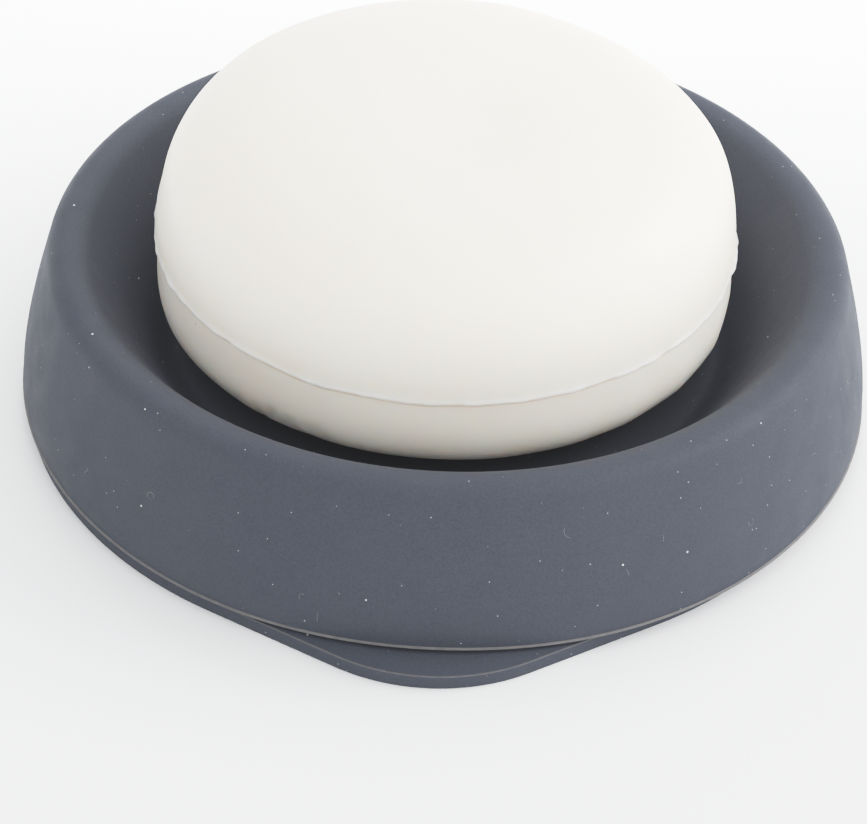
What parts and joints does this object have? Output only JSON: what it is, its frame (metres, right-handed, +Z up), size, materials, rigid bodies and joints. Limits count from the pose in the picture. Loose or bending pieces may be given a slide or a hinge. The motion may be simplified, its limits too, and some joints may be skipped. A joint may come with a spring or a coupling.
{
  "type": "soap dish",
  "caption": "Round self-draining soap dish: a domed silicone dish on a teardrop tray with a pouring spout, holding a round bar of soap.",
  "frame": {"origin": "on the table, at the tray's flat underside, under the dish's vertical axis", "axes": "+Z up, -Y towards the spout, +X to the right when the spout points at the viewer"},
  "size_m": [0.1152, 0.1191, 0.0452],
  "materials": {
    "tray_silicone": "matte dark blue-grey silicone",
    "dish_silicone": "matte dark blue-grey silicone",
    "soap": "smooth cream pressed soap"
  },
  "bodies": {
    "tray_body": {"drain_tray": "tray_silicone"},
    "dish_body": {"dish": "dish_silicone"},
    "soap_body": {"soap_bar": "soap"}
  },
  "joints": [
    {"name": "dish_lift", "type": "slide", "parent": "tray_body", "child": "dish_body", "axis": [0, 0, 1], "range_m": [0, 0.05]},
    {"name": "soap_lift", "type": "slide", "parent": "dish_body", "child": "soap_body", "axis": [0, 0, 1], "range_m": [0, 0.06]}
  ]
}
